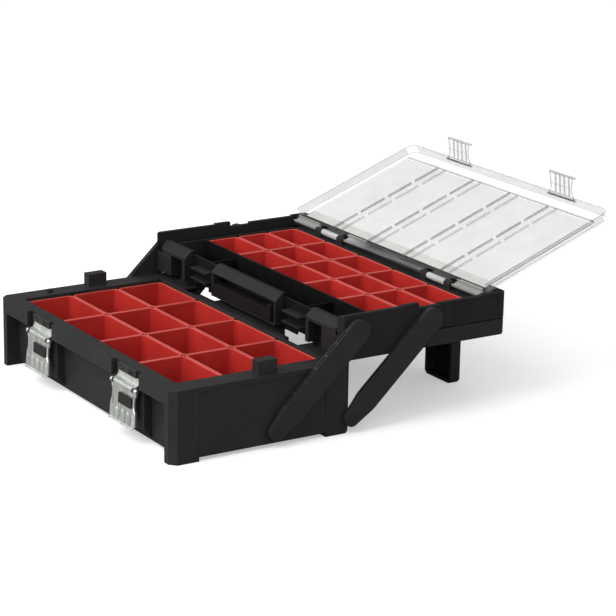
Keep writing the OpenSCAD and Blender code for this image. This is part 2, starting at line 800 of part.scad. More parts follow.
// lug on the lid's front for a clip's pin
module clip_lug(s) {
    x = latch_x + s * (clip_half + 3);
    span([x - 2, -clip_pin_y, clip_pin_z - 3], [x + 2, -lid_len + eps, clip_pin_z + 3]);
    rod(3, x - 2, x + 2, -clip_pin_y, clip_pin_z);
}

module lid_hinge_pins() color(zinc) placed() both_sides()
    rod(hinge_pin_r, lug_mid[0] - lug_w / 2 + 1, lug_mid[1] + lug_w / 2 - 1, hinge_y, hinge_z);

module lid_clip_pins() color(zinc) lid_placed() both_sides()
    rod(clip_pin_r, latch_x - clip_half - 5, latch_x + clip_half + 5, -clip_pin_y, clip_pin_z);

// a clear clip that hangs from the lid's front edge and hooks under the tray's ledge
module lid_clip() {
    half = clip_half;
    front = -clip_t / 2 - 0.4;
    hook_top = clip_ledge_z - (hinge_z + clip_pin_z) - 0.8;
    translate([latch_x, -clip_pin_y, clip_pin_z]) rotate([-clip_lean, 0, 0]) difference() {
        union() {
            rod(2.9, -half, half, 0, 0);
            translate([0, front + clip_t, 0]) rotate([90, 0, 0]) linear_extrude(clip_t)
                polygon([[-half, 0], [half, 0], [half - 6, -14], [half - 3, -clip_len],
                    [-half + 3, -clip_len], [-half + 6, -14]]);
            span([-half - 1, front - 3.4, -clip_len], [half + 1, front + 1, -clip_len + 2.6]);
            for (x = [-18, -9, 0, 9, 18])
                span([x - 0.8, front - 1.6, -clip_len + 1], [x + 0.8, front + 1, -4]);
            span([-20, front + 1, hook_top - 3], [20, 7.4, hook_top]);
        }
        rod(clip_pin_r + run_fit, -half - 1, half + 1, 0, 0);
    }
}

// ---- bins ----

module bin_shape(w, d, h) {
    rim = 1.2;
    difference() {
        union() {
            translate([rim, rim, 0]) linear_extrude(h) round_rect(w - 2 * rim, d - 2 * rim, bin_r);
            translate([0, 0, h - 3]) linear_extrude(3) round_rect(w, d, bin_r + rim);
        }
        translate([rim + bin_wall, rim + bin_wall, bin_wall]) linear_extrude(h)
            round_rect(w - 2 * (rim + bin_wall), d - 2 * (rim + bin_wall), bin_r - bin_wall);
    }
}

module lower_bin(i) color(red) placed() {
    col = (i - 1) % low_cols;
    row = floor((i - 1) / low_cols);
    translate([(col - low_cols / 2) * low_pitch_x + bin_gap / 2, low_y0 + row * low_pitch_y + bin_gap / 2,
        low_z0])
        bin_shape(low_pitch_x - bin_gap, low_pitch_y - bin_gap, low_top - low_z0);
}

module upper_bin(i) color(red) placed() {
    col = (i - 1) % up_cols;
    row = floor((i - 1) / up_cols);
    translate([(col - up_cols / 2) * up_pitch_x + bin_gap / 2, up_y0 + row * up_pitch_y + bin_gap / 2,
        up_z0])
        bin_shape(up_pitch_x - bin_gap, up_pitch_y - bin_gap, up_bin_h);
}

base_shell();
color(black) placed() mirror([1, 0, 0]) latch_bracket();  // latch_bracket_left
color(black) placed() latch_bracket();  // latch_bracket_right
color(zinc) placed() mirror([1, 0, 0]) latch_leaf();  // latch_leaf_left
color(zinc) placed() latch_leaf();  // latch_leaf_right
color(zinc) placed() mirror([1, 0, 0]) latch_pin();  // latch_pin_left
color(zinc) placed() latch_pin();  // latch_pin_right
color(zinc) placed() mirror([1, 0, 0]) latch_plate();  // latch_plate_left
color(zinc) placed() latch_plate();  // latch_plate_right
color(black) placed() mirror([1, 0, 0]) latch_pad(-1);  // latch_pad_left
color(black) placed() latch_pad(1);  // latch_pad_right
base_pivot_pins();
color(black) placed() mirror([1, 0, 0]) arm(rear_p, loose_fit);  // rear_arm_left
color(black) placed() arm(rear_p, run_fit);  // rear_arm_right
color(black) placed() mirror([1, 0, 0]) arm(front_p, loose_fit);  // front_arm_left
color(black) placed() arm(front_p, loose_fit);  // front_arm_right
tray_shell();
tray_pivot_pins();
tray_stand();
stand_screws();
color(black) placed() mirror([1, 0, 0]) tool_divider();  // tool_divider_left
color(black) placed() tool_divider();  // tool_divider_right
carry_handle();
handle_pins();
lid_hinge_pins();
lid();
color(clear) lid_placed() mirror([1, 0, 0]) lid_clip();  // lid_clip_left
color(clear) lid_placed() lid_clip();  // lid_clip_right
lid_clip_pins();
for (i = [1 : low_cols * low_rows])
    lower_bin(i);
for (i = [1 : up_cols * up_rows])
    upper_bin(i);
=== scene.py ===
import json
import math
import bpy
import bmesh
from mathutils import Matrix, Vector


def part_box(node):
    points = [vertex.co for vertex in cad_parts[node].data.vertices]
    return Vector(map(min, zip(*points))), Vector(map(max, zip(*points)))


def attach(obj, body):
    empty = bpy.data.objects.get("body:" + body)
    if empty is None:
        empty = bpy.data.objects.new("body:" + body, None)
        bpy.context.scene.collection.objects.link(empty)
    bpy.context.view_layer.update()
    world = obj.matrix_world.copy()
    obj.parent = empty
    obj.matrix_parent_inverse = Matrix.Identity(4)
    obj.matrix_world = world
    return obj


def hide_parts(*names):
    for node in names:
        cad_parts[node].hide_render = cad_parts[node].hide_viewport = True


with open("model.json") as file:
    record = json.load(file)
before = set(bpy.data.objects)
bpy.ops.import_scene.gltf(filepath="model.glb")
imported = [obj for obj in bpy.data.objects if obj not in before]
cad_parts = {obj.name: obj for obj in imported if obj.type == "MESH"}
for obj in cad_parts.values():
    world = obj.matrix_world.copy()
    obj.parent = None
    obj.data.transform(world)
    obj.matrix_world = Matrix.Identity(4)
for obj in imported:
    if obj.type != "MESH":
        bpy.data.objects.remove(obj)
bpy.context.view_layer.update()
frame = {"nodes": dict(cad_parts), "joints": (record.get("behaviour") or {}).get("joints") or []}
nodes = frame["nodes"]
joints = {j["name"]: Vector(j["pos_m"]) for j in frame["joints"]}

# Sizes of pieces are in millimetres; materials, lights and what says so are in metres. In
# at(), Y = 0 is the lower case's front face, as in the part's source; the case's back face
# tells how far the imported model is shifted.
MM = 1000.0  # millimetres in a metre
CASE_D = 304.0  # the lower case from front to back
SHIFT = CASE_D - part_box("base_shell")[1][1] * MM
LID_SLOPE = 20.5  # the open lid's slope in degrees
LID_TURN = math.radians(LID_SLOPE - 180)  # how far the open lid is turned from shut
LATCH_LEAN = math.radians(4)  # how far the latch plates are turned from hanging straight down
CLIP_LEAN = math.radians(15)  # how far the lid's clips are turned from the open lid
TOOL_HALF = 247.0  # half the width of the tool compartment, with its walls
TOOL_FRONT, TOOL_BACK = 297.0, 359.5  # where it starts and ends along Y, with its walls


def at(x, y, z):
    return Vector((x / MM, (y - SHIFT) / MM, z / MM))


def turned_at(pivot, angle):
    """A frame at a pivot, turned about X, for points in millimetres."""
    turn = Matrix.Rotation(angle, 3, "X")
    return lambda x, y, z: pivot + turn @ (Vector((x, y, z)) / MM)


in_lid = turned_at(joints["lid_hinge"], LID_TURN)


# ---------------------------------------------------------------- materials

NOISE_ROUGH = 0.55
BEVEL_SAMPLES = 6
BRUSH = (1.0, 1.0, 0.05)  # stretches noise into streaks along Z
DRAWN = (0.03, 1.0, 1.0)  # stretches noise into streaks along X


def new_material(name):
    mat = bpy.data.materials.new(name)
    mat.use_nodes = True
    tree = mat.node_tree
    return mat, tree, tree.nodes["Principled BSDF"]


def object_coords(tree):
    return tree.nodes.new("ShaderNodeTexCoord").outputs["Object"]


def place_along(tree, axis):
    """A piece's place along X, Y or Z at rest, in metres; Z is the height above the floor."""
    s = tree.nodes.new("ShaderNodeSeparateXYZ")
    tree.links.new(object_coords(tree), s.inputs["Vector"])
    return s.outputs[axis]


def noise(tree, scale, detail=3.0, stretch=None):
    n = tree.nodes.new("ShaderNodeTexNoise")
    n.inputs["Scale"].default_value = scale
    n.inputs["Detail"].default_value = detail
    n.inputs["Roughness"].default_value = NOISE_ROUGH
    coords = object_coords(tree)
    if stretch:
        m = tree.nodes.new("ShaderNodeMapping")
        m.inputs["Scale"].default_value = stretch
        tree.links.new(coords, m.inputs["Vector"])
        coords = m.outputs["Vector"]
    tree.links.new(coords, n.inputs["Vector"])
    return n.outputs["Fac"]


def ramp(tree, fac, low, high, c0, c1):
    """Colour c0 up to fac = low, c1 from fac = high on, and blended between."""
    r = tree.nodes.new("ShaderNodeValToRGB")
    r.color_ramp.elements[0].position = low
    r.color_ramp.elements[1].position = high
    r.color_ramp.elements[0].color = (*c0, 1)
    r.color_ramp.elements[1].color = (*c1, 1)
    tree.links.new(fac, r.inputs["Fac"])
    return r.outputs["Color"]


def to_range(tree, fac, low, high, start=0.3, end=0.7):
    """Low to high as fac goes from start to end, which by default is where noise lies."""
    m = tree.nodes.new("ShaderNodeMapRange")
    m.inputs["From Min"].default_value = start
    m.inputs["From Max"].default_value = end
    m.inputs["To Min"].default_value = low
    m.inputs["To Max"].default_value = high
    tree.links.new(fac, m.inputs["Value"])
    return m.outputs["Result"]


def maths(tree, operation, a, b):
    """An operation on a, an output, and b, an output or a number."""
    n = tree.nodes.new("ShaderNodeMath")
    n.operation = operation
    tree.links.new(a, n.inputs[0])
    if isinstance(b, float):
        n.inputs[1].default_value = b
    else:
        tree.links.new(b, n.inputs[1])
    return n.outputs["Value"]


def mixed(tree, fac, a, b):
    """Colour a where fac is 0 and b where it is 1."""
    m = tree.nodes.new("ShaderNodeMix")
    m.data_type = "RGBA"
    tree.links.new(fac, m.inputs["Factor"])
    tree.links.new(a, m.inputs["A"])
    tree.links.new(b, m.inputs["B"])
    return m.outputs["Result"]


def bumped(tree, shader, fac, strength, distance, edge=0.0):
    """Relief from fac, of a depth in metres, and edges rounded to a radius in metres."""
    b = tree.nodes.new("ShaderNodeBump")
    b.inputs["Strength"].default_value = strength
    b.inputs["Distance"].default_value = distance
    tree.links.new(fac, b.inputs["Height"])
    if edge:
        e = tree.nodes.new("ShaderNodeBevel")
        e.samples = BEVEL_SAMPLES
        e.inputs["Radius"].default_value = edge
        tree.links.new(e.outputs["Normal"], b.inputs["Normal"])
    tree.links.new(b.outputs["Normal"], shader.inputs["Normal"])


def moulded(name, dark, light, rough, grain=0.12, edge=0.0012, spec=0.3):
    """Moulded plastic: fine grain, faint cloudy tone, rounded edges."""
    mat, tree, shader = new_material(name)
    tone = ramp(tree, noise(tree, scale=14.0, detail=4.0), 0.35, 0.7, dark, light)
    tree.links.new(tone, shader.inputs["Base Color"])
    gloss = to_range(tree, noise(tree, scale=55.0), rough - 0.05, rough + 0.06)
    tree.links.new(gloss, shader.inputs["Roughness"])
    shader.inputs["Specular IOR Level"].default_value = spec
    fine = noise(tree, scale=1400.0, detail=2.0)
    bumped(tree, shader, fine, strength=grain, distance=0.0003, edge=edge)
    return mat


def bin_red(name, rim_z):
    """Red plastic with a painted highlight that makes it paler at the rim, at the height rim_z
    in metres.
    """
    mat, tree, shader = new_material(name)
    cloud = noise(tree, scale=16.0, detail=4.0)
    wall = ramp(tree, cloud, 0.35, 0.7, (0.37, 0.02, 0.016), (0.44, 0.027, 0.021))
    # painted highlight: a paler red along the top of the rim, where light catches it
    rim = ramp(tree, cloud, 0.35, 0.7, (0.5, 0.066, 0.052), (0.56, 0.085, 0.068))
    rim_highlight_mask = to_range(tree, place_along(tree, "Z"), 0.0, 1.0, rim_z - 0.0014, rim_z - 0.0004)
    tree.links.new(mixed(tree, rim_highlight_mask, wall, rim), shader.inputs["Base Color"])
    gloss = to_range(tree, noise(tree, scale=60.0), 0.3, 0.42)
    tree.links.new(gloss, shader.inputs["Roughness"])
    shader.inputs["Specular IOR Level"].default_value = 0.4
    fine = noise(tree, scale=900.0, detail=2.0)
    bumped(tree, shader, fine, strength=0.05, distance=0.0003, edge=0.0009)
    return mat


def metal(name, tone, rough):
    """Zinc-plated sheet: streaks in its tone, gloss and relief."""
    mat, tree, shader = new_material(name)
    shader.inputs["Metallic"].default_value = 1.0
    dark = tuple(c * 0.68 for c in tone)
    broad = noise(tree, scale=260.0, stretch=BRUSH)
    tree.links.new(ramp(tree, broad, 0.35, 0.62, dark, tone), shader.inputs["Base Color"])
    fine = noise(tree, scale=900.0, stretch=BRUSH)
    tree.links.new(to_range(tree, fine, rough - 0.08, rough + 0.1), shader.inputs["Roughness"])
    bumped(tree, shader, fine, strength=0.1, distance=0.0002, edge=0.0004)
    return mat


def clear(name, tone, alpha, rough=0.12, ripple=0.05, spec=0.5):
    """Clear plastic, rippled a little; alpha says how much of what is behind it it covers."""
    mat, tree, shader = new_material(name)
    dark = tuple(c * 0.93 for c in tone)
    cloud = noise(tree, scale=9.0, detail=2.0)
    tree.links.new(ramp(tree, cloud, 0.3, 0.7, dark, tone), shader.inputs["Base Color"])
    cover = to_range(tree, noise(tree, scale=22.0, detail=2.0), alpha * 0.92, alpha * 1.08)
    tree.links.new(cover, shader.inputs["Alpha"])
    shader.inputs["Roughness"].default_value = rough
    shader.inputs["IOR"].default_value = 1.5
    shader.inputs["Specular IOR Level"].default_value = spec
    wave = noise(tree, scale=60.0, detail=2.0)
    bumped(tree, shader, wave, strength=ripple, distance=0.0004)
    return mat


def graded_clear(name, x_pale, x_dark):
    """Clear plastic that is pale at one place along X and dark at another, in metres, blended
    between.
    """
    mat, tree, shader = new_material(name)
    streak = noise(tree, scale=420.0, detail=2.0, stretch=DRAWN)
    pale = ramp(tree, streak, 0.35, 0.65, (0.2, 0.21, 0.19), (0.5, 0.51, 0.48))
    dark = ramp(tree, streak, 0.35, 0.65, (0.03, 0.034, 0.037), (0.16, 0.17, 0.18))
    along = to_range(tree, place_along(tree, "X"), 0.0, 1.0, x_pale, x_dark)
    tree.links.new(mixed(tree, along, pale, dark), shader.inputs["Base Color"])
    shader.inputs["Alpha"].default_value = 0.85
    shader.inputs["Roughness"].default_value = 0.2
    bumped(tree, shader, streak, strength=0.15, distance=0.0004)
    return mat


def paint_shade_inside(mat, half, near, far):
    """Paint shade into a material: darker within half of X = 0 and between two places along Y,
    in metres, where the hollow lies in shade.
    """
    tree = mat.node_tree
    shader = tree.nodes["Principled BSDF"]
    tone = shader.inputs["Base Color"].links[0].from_socket
    inside = maths(tree, "GREATER_THAN", place_along(tree, "X"), -half)
    for axis, test, limit in (("X", "LESS_THAN", half), ("Y", "GREATER_THAN", near),
                              ("Y", "LESS_THAN", far)):
        past = maths(tree, test, place_along(tree, axis), limit)
        inside = maths(tree, "MULTIPLY", inside, past)
    cloud = noise(tree, scale=14.0)
    # painted shade: a near-black tone for the hollow
    painted_shade = ramp(tree, cloud, 0.3, 0.7, (0.001, 0.001, 0.001), (0.002, 0.002, 0.002))
    tree.links.new(mixed(tree, inside, tone, painted_shade), shader.inputs["Base Color"])


BLACK = moulded("black_moulding", (0.0135, 0.0135, 0.0137), (0.0185, 0.0185, 0.0187),
                rough=0.5, spec=0.27)
BLACK_TRAY = moulded("black_tray", (0.0105, 0.0105, 0.0107), (0.0145, 0.0145, 0.0147),
                     rough=0.55, spec=0.2)
# painted shade inside the tray's tool compartment and its walls
paint_shade_inside(BLACK_TRAY, TOOL_HALF / MM, (TOOL_FRONT - SHIFT) / MM, (TOOL_BACK - SHIFT) / MM)
BLACK_DEEP = moulded("black_deep", (0.004, 0.0038, 0.004), (0.006, 0.0057, 0.006),
                     rough=0.55, spec=0.18)
BLACK_ARM = moulded("black_arm", (0.016, 0.016, 0.0163), (0.0215, 0.0215, 0.0218),
                    rough=0.5, spec=0.26)
OLIVE = moulded("dark_cap", (0.018, 0.0195, 0.016), (0.025, 0.027, 0.0225),
                rough=0.45, grain=0.08, edge=0.0008)
PAD = moulded("dark_pad", (0.006, 0.0072, 0.0055), (0.009, 0.0105, 0.008),
              rough=0.42, grain=0.1, edge=0.001)
RED_LOW = bin_red("red_bin_lower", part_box("lower_bin_1")[1].z)
RED_HIGH = bin_red("red_bin_upper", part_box("upper_bin_1")[1].z)
ZINC = metal("zinc_sheet", (0.9, 0.93, 0.88), rough=0.36)
ZINC_SHADE = metal("zinc_shade", (0.3, 0.31, 0.29), rough=0.5)
CLEAR = clear("clear_plate", (0.86, 0.865, 0.86), alpha=0.035)
TINT = clear("clear_tint", (0.2, 0.205, 0.19), alpha=0.36, rough=0.5, ripple=0.02, spec=0.0)
# the next four: grey painted into clear plastic for the light and shade seen along its edges and
# ribs
EDGE = clear("clear_edge", (0.4, 0.41, 0.41), alpha=0.2, rough=0.16)
EDGE_DARK = clear("clear_edge_dark", (0.25, 0.26, 0.26), alpha=0.36, rough=0.2)
RIB = clear("clear_rib", (0.2, 0.21, 0.21), alpha=0.32, rough=0.2)
RIB_LIT = clear("clear_rib_lit", (0.3, 0.31, 0.31), alpha=0.18, rough=0.2)
CLIP = clear("clear_clip", (0.4, 0.41, 0.41), alpha=0.1, rough=0.15)
PALE = clear("clear_pale", (0.36, 0.37, 0.35), alpha=0.66, rough=0.2, ripple=0.1)
MILKY = clear("clear_milky", (0.53, 0.535, 0.515), alpha=0.93, rough=0.5, ripple=0.02,
              spec=0.0)
CLEAR_GRADED = graded_clear("clear_graded", x_pale=-0.1, x_dark=-0.045)
GLEAM = clear("clear_gleam", (0.46, 0.48, 0.48), alpha=0.9, rough=0.1, ripple=0.2, spec=0.9)


def paint(names, mat):
    for name in names:
        o = nodes[name]
        o.data.materials.clear()
        o.data.materials.append(mat)


paint(["base_shell", "base_pivot_pins", "tray_stand"], BLACK)
paint(["tray_shell", "tool_divider_left", "tool_divider_right",
       "handle_pins"], BLACK_TRAY)
paint(["carry_handle"], BLACK_DEEP)
paint(["rear_arm_left", "rear_arm_right", "front_arm_left", "front_arm_right",
       "tray_pivot_pins"], BLACK_ARM)
paint(["latch_bracket_left", "latch_bracket_right"], OLIVE)
paint(["latch_pad_left", "latch_pad_right"], PAD)
paint([n for n in nodes if n.startswith("lower_bin")], RED_LOW)
paint([n for n in nodes if n.startswith("upper_bin")], RED_HIGH)
paint(["latch_leaf_left", "latch_leaf_right", "latch_pin_left", "latch_pin_right",
       "latch_plate_left", "latch_plate_right", "stand_screws", "lid_hinge_pins"], ZINC)
paint(["lid"], CLEAR)
paint(["lid_clip_pins"], EDGE)
paint(["lid_clip_left", "lid_clip_right"], CLIP)


# ---------------------------------------------------------------- building pieces

WELD = 1e-6  # points closer than this, in metres, become one
BEVEL_SEGMENTS = 2
STEEP = 0.9  # from this rise on, a bar's rings are set up from X, not from Z
BOX_SIDES = ((0, 1, 3, 2), (4, 6, 7, 5), (0, 4, 5, 1), (2, 3, 7, 6), (0, 2, 6, 4), (1, 5, 7, 3))


def finish_piece(name, bm, mat, body, bevel=0.0, smooth=False):
    """A mesh object from bm that rides on a body, with bevelled edges or smooth faces."""
    bmesh.ops.remove_doubles(bm, verts=bm.verts, dist=WELD)
    bmesh.ops.recalc_face_normals(bm, faces=bm.faces)
    mesh = bpy.data.meshes.new(name)
    bm.to_mesh(mesh)
    bm.free()
    mesh.materials.append(mat)
    o = bpy.data.objects.new(name, mesh)
    bpy.context.collection.objects.link(o)
    if smooth:
        for p in mesh.polygons:
            p.use_smooth = True
    if bevel:
        m = o.modifiers.new("edges", "BEVEL")
        m.width = bevel / MM
        m.segments = BEVEL_SEGMENTS
        m.limit_method = "ANGLE"
    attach(o, body)
    return o


def add_block(bm, place, low, high):
    """A box between two corners, in the frame that place() gives."""
    xs, ys, zs = zip(low, high)
    v = [bm.verts.new(place(x, y, z)) for z in zs for y in ys for x in xs]
    for quad in BOX_SIDES:
        bm.faces.new([v[i] for i in quad])


def add_tube(bm, points, radius, sides=8):
    """A round bar along a line of points in metres, with its radius in millimetres."""
    rings = []
    for i, p in enumerate(points):
        ahead = (points[min(i + 1, len(points) - 1)] - points[max(i - 1, 0)]).normalized()
        other = Vector((0, 0, 1)) if abs(ahead.z) < STEEP else Vector((1, 0, 0))
        side = ahead.cross(other).normalized()
        up = side.cross(ahead)
        rings.append([bm.verts.new(p + (side * math.cos(a) + up * math.sin(a)) * radius / MM)
                      for a in (2 * math.pi * k / sides for k in range(sides))])
    for a, b in zip(rings, rings[1:]):
        for k in range(sides):
            bm.faces.new([a[k], a[(k + 1) % sides], b[(k + 1) % sides], b[k]])
    bm.faces.new(rings[0][::-1])
    bm.faces.new(rings[-1])


def add_knuckle(bm, place, x0, x1, radius, sides):
    """A round bar along the X axis of the frame that place() gives."""
    x0, x1 = sorted((x0, x1))
    add_tube(bm, [place(x, 0, 0) for x in (x0, x0 + 1, x1 - 1, x1)], radius, sides)


def add_sheet(bm, grid):
    """Faces through a grid of points in metres."""
    rows = [[bm.verts.new(p) for p in row] for row in grid]
    for a, b in zip(rows, rows[1:]):
        for k in range(len(a) - 1):
            bm.faces.new([a[k], a[k + 1], b[k + 1], b[k]])


def blocks_piece(name, place, boxes, mat, body, bevel):
    """One piece of several boxes, each given by its low and its high corner."""
    bm = bmesh.new()
    for low, high in boxes:
        add_block(bm, place, low, high)
    finish_piece(name, bm, mat, body, bevel)


def eased(table, v):
    """A value from a table of (place, value), eased between its rows."""
    for (v0, a), (v1, b) in zip(table, table[1:]):
        if v <= v1:
            t = max(0.0, (v - v0) / (v1 - v0))
            return a + (b - a) * t * t * (3 - 2 * t)
    return table[-1][1]


# ---------------------------------------------------------------- lid
# In the lid's frame, the hinge's axis is X, the plate runs along -Y to the lid's front edge
# and the skirt points along -Z.

LID_X = 270.0  # half the lid's width
LID_LEN = 264.2  # from the hinge's axis to the front edge
LID_CORNER = 15.0  # radius of the front corners
CORNER_STEP = 15  # degrees from point to point round a corner
RIM_BACK = 12.0  # the rim's lines end this far from the hinge's axis
SKIRT = 16.0  # how far the skirt goes down
TINT_X = 255.0  # half the width of the tinted middle
TINT_START, TINT_END = 18.0, 238.0  # its ends, from the hinge's axis
TINT_Z, TINT_DOME = -1.25, 0.35  # its height at the sides, and its rise
TINT_ROWS, TINT_COLUMNS = 12, 16
FROST_END = 36.0  # front end of the frosted strip, which starts at TINT_START
FROST_Z = (-2.1, -1.7)
LINE_TOP = -2.2  # top of the lines under the plate

RIB_X = (50.8, 152.4)  # middles of the pairs of ribs at each side
RIB_PAIR = 10.5  # from a pair's middle to its ribs
RIB_HALF = 0.9  # half the thickness of a rib
RIB_Z = (-6.75, -2.4)
RIB_ROWS = 4  # ribs one behind the other
RIB_START = 16.4  # from the hinge's axis to the first
RIB_PITCH, RIB_GAP = 57.785, 12  # from start to start, and the gap between two
RIB_LEN = RIB_PITCH - RIB_GAP
RIB_OVER = 2.6  # a rib's tint goes this far past both of its ends

RIM_LINES = (  # name, inset from the outline, height, radius, material
    ("lid_edge_lower", 1.2, -SKIRT + 0.6, 0.75, EDGE_DARK),
    ("lid_edge_upper", 0.9, -0.7, 0.7, EDGE),
    ("lid_edge_inner", 2.9, -3.0, 0.6, EDGE))
SHADE_INSET, SHADE_HALF = 1.25, 0.3  # the shade in the skirt: its middle, half its thickness
SHADE_BACK = 13  # its back end, from the hinge's axis
SHADE_Z = (-SKIRT + 1.2, -2.6)
SIDE_LINE_HALF, SIDE_LINE_LOW = 0.5, -3.1  # lines along the sides of the tinted middle
STEP_DEEP, STEP_LOW = 2.6, -5.4  # step along its front

STRIP_SECTION = (  # the hinge strip's front lip, top and back lip, as (Y, Z) corners
    ((-9.6, -6.4), (-8.4, -2.4)),
    ((-9.0, -2.4), (3.5, -0.4)),
    ((2.4, -4.4), (3.6, -2.2)))
STRIP_MIDDLE = (-109, 109)
STRIP_ENDS = ((196, 262), (-262, -196))
PATCHES = ((-118, -66), (196, 254))  # pale patches between the strip and the tinted middle
PATCH_Y = (2.0 - TINT_START, -9.8)
PATCH_Z = (-2.4, -1.8)
STRIP_LINE_WIDE, STRIP_LINE_LOW = 0.7, -2.9  # dark line along the back of the tinted middle

LUG_IN, LUG_OUT = 129.5, 175.5  # a knuckle's ends, between two lugs
KNUCKLE_R = 5.2
KNUCKLE_SIDES = 24
KNUCKLE_GAP = 0.2  # the gleam ends this far from the lugs
GLEAM_OVER = 0.12  # and lies this far outside the knuckle

CLIP_RIB_X, CLIP_RIB_HALF = (-17, -5.5, 5.5, 17), 1.6
CLIP_RIB_Y, CLIP_RIB_Z = (-3.35, -1.6), (-35.5, -4)
CLIP_FOOT = ((-32.8, -5.1, -37.9), (32.8, -0.9, -34.9))
CLIP_SIDE = ((32, -1), (29, -8), (26, -14), (26.6, -20), (28.8, -36))  # a side edge, X and Z
CLIP_EDGE_Y, CLIP_EDGE_R = -0.4, 0.8


def lid_blocks(name, boxes, mat, bevel):
    """One piece of several boxes on the lid."""
    blocks_piece(name, in_lid, boxes, mat, "lid", bevel)


def lid_rim(inset, z):
    """The lid's outline from its right back end round the front to the left, as points."""
    x, y, r = LID_X - inset, LID_LEN - inset, LID_CORNER - inset
    points = [in_lid(x, -RIM_BACK, z)]
    for cx, start in ((x - r, 0), (-x + r, 90)):
        for a in range(start, start + 91, CORNER_STEP):
            t = math.radians(a)
            points.append(in_lid(cx + r * math.cos(t), -y + r - r * math.sin(t), z))
    return points + [in_lid(-x, -RIM_BACK, z)]


def make_lid_plate():
    """The tinted middle of the lid, a little domed, and the frosted strip behind it."""
    bm = bmesh.new()
    grid = []
    for j in range(TINT_ROWS + 1):
        y = -TINT_START - (TINT_END - TINT_START) * j / TINT_ROWS
        row = []
        for i in range(TINT_COLUMNS + 1):
            u = -1 + 2 * i / TINT_COLUMNS
            dome = TINT_DOME * (1 - u * u) * math.sin(math.pi * j / TINT_ROWS)
            row.append(in_lid(u * TINT_X, y, TINT_Z + dome))
        grid.append(row)
    add_sheet(bm, grid)
    finish_piece("lid_tinted_middle", bm, TINT, "lid", smooth=True)
    frost = [((-TINT_X, -FROST_END, FROST_Z[0]), (TINT_X, -TINT_START, FROST_Z[1]))]
    lid_blocks("lid_frosted_strip", frost, MILKY, bevel=0.1)


def make_lid_ribs():
    """Grey blocks over the pairs of ribs, painted for the light and shade seen in the clear
    ribs: painted shade on the left rib of each pair, a paler grey on the right one.
    """
    dark, pale = [], []
    for side in (-1, 1):
        for x0 in RIB_X:
            for k in range(RIB_ROWS):
                y1 = -RIB_START - k * RIB_PITCH
                for step in (-1, 1):
                    x = side * x0 + step * RIB_PAIR
                    box = ((x - RIB_HALF, y1 - RIB_LEN - RIB_OVER, RIB_Z[0]),
                           (x + RIB_HALF, y1 + RIB_OVER, RIB_Z[1]))
                    (dark if step < 0 else pale).append(box)
    # painted shade on the left rib of each pair, a paler painted grey on the right
    lid_blocks("lid_ribs_near", dark, RIB, bevel=0.5)
    lid_blocks("lid_ribs_far", pale, RIB_LIT, bevel=0.5)


def make_lid_edges():
    """Edges that look grey because light runs along inside them."""
    for name, inset, z, r, mat in RIM_LINES:
        bm = bmesh.new()
        add_tube(bm, lid_rim(inset, z), r)
        finish_piece(name, bm, mat, "lid", smooth=True)
    walls = [((s * (LID_X - SHADE_INSET) - SHADE_HALF, -LID_LEN + LID_CORNER, SHADE_Z[0]),
              (s * (LID_X - SHADE_INSET) + SHADE_HALF, -SHADE_BACK, SHADE_Z[1]))
             for s in (-1, 1)]
    walls.append(((-LID_X + LID_CORNER, -LID_LEN + SHADE_INSET - SHADE_HALF, SHADE_Z[0]),
                  (LID_X - LID_CORNER, -LID_LEN + SHADE_INSET + SHADE_HALF, SHADE_Z[1])))
    lid_blocks("lid_skirt_shade", walls, EDGE, bevel=0.1)
    lines = [((s * TINT_X - SIDE_LINE_HALF, -TINT_END, SIDE_LINE_LOW),
              (s * TINT_X + SIDE_LINE_HALF, -TINT_START, LINE_TOP)) for s in (-1, 1)]
    lid_blocks("lid_side_lines", lines, EDGE_DARK, bevel=0.2)
    step = [((-TINT_X, -TINT_END - STEP_DEEP, STEP_LOW), (TINT_X, -TINT_END, LINE_TOP))]
    lid_blocks("lid_front_step", step, RIB, bevel=0.6)


def strip_boxes(x0, x1):
    """A length of the hinge strip between two places along X, as boxes."""
    return [((x0, y0, z0), (x1, y1, z1)) for (y0, z0), (y1, z1) in STRIP_SECTION]


def make_lid_hinge():
    """The clear strip along the hinge, and a painted gleam over the knuckles between the lugs.
    """
    lid_blocks("lid_strip_middle", strip_boxes(*STRIP_MIDDLE), CLEAR_GRADED, bevel=0.5)
    ends = [box for x0, x1 in STRIP_ENDS for box in strip_boxes(x0, x1)]
    ends += [((x0, PATCH_Y[0], PATCH_Z[0]), (x1, PATCH_Y[1], PATCH_Z[1])) for x0, x1 in PATCHES]
    lid_blocks("lid_strip_ends", ends, PALE, bevel=0.2)
    line = [((-TINT_X, -TINT_START, STRIP_LINE_LOW),
             (TINT_X, STRIP_LINE_WIDE - TINT_START, LINE_TOP))]
    lid_blocks("lid_strip_line", line, BLACK_DEEP, bevel=0.1)
    for side, name in ((-1, "left"), (1, "right")):
        bm = bmesh.new()
        # painted highlight: a pale glossy sheath just outside each knuckle
        add_knuckle(bm, in_lid, side * (LUG_IN + KNUCKLE_GAP), side * (LUG_OUT - KNUCKLE_GAP),
                    KNUCKLE_R + GLEAM_OVER, KNUCKLE_SIDES)
        finish_piece("lid_knuckle_gleam_" + name, bm, GLEAM, "lid", smooth=True)


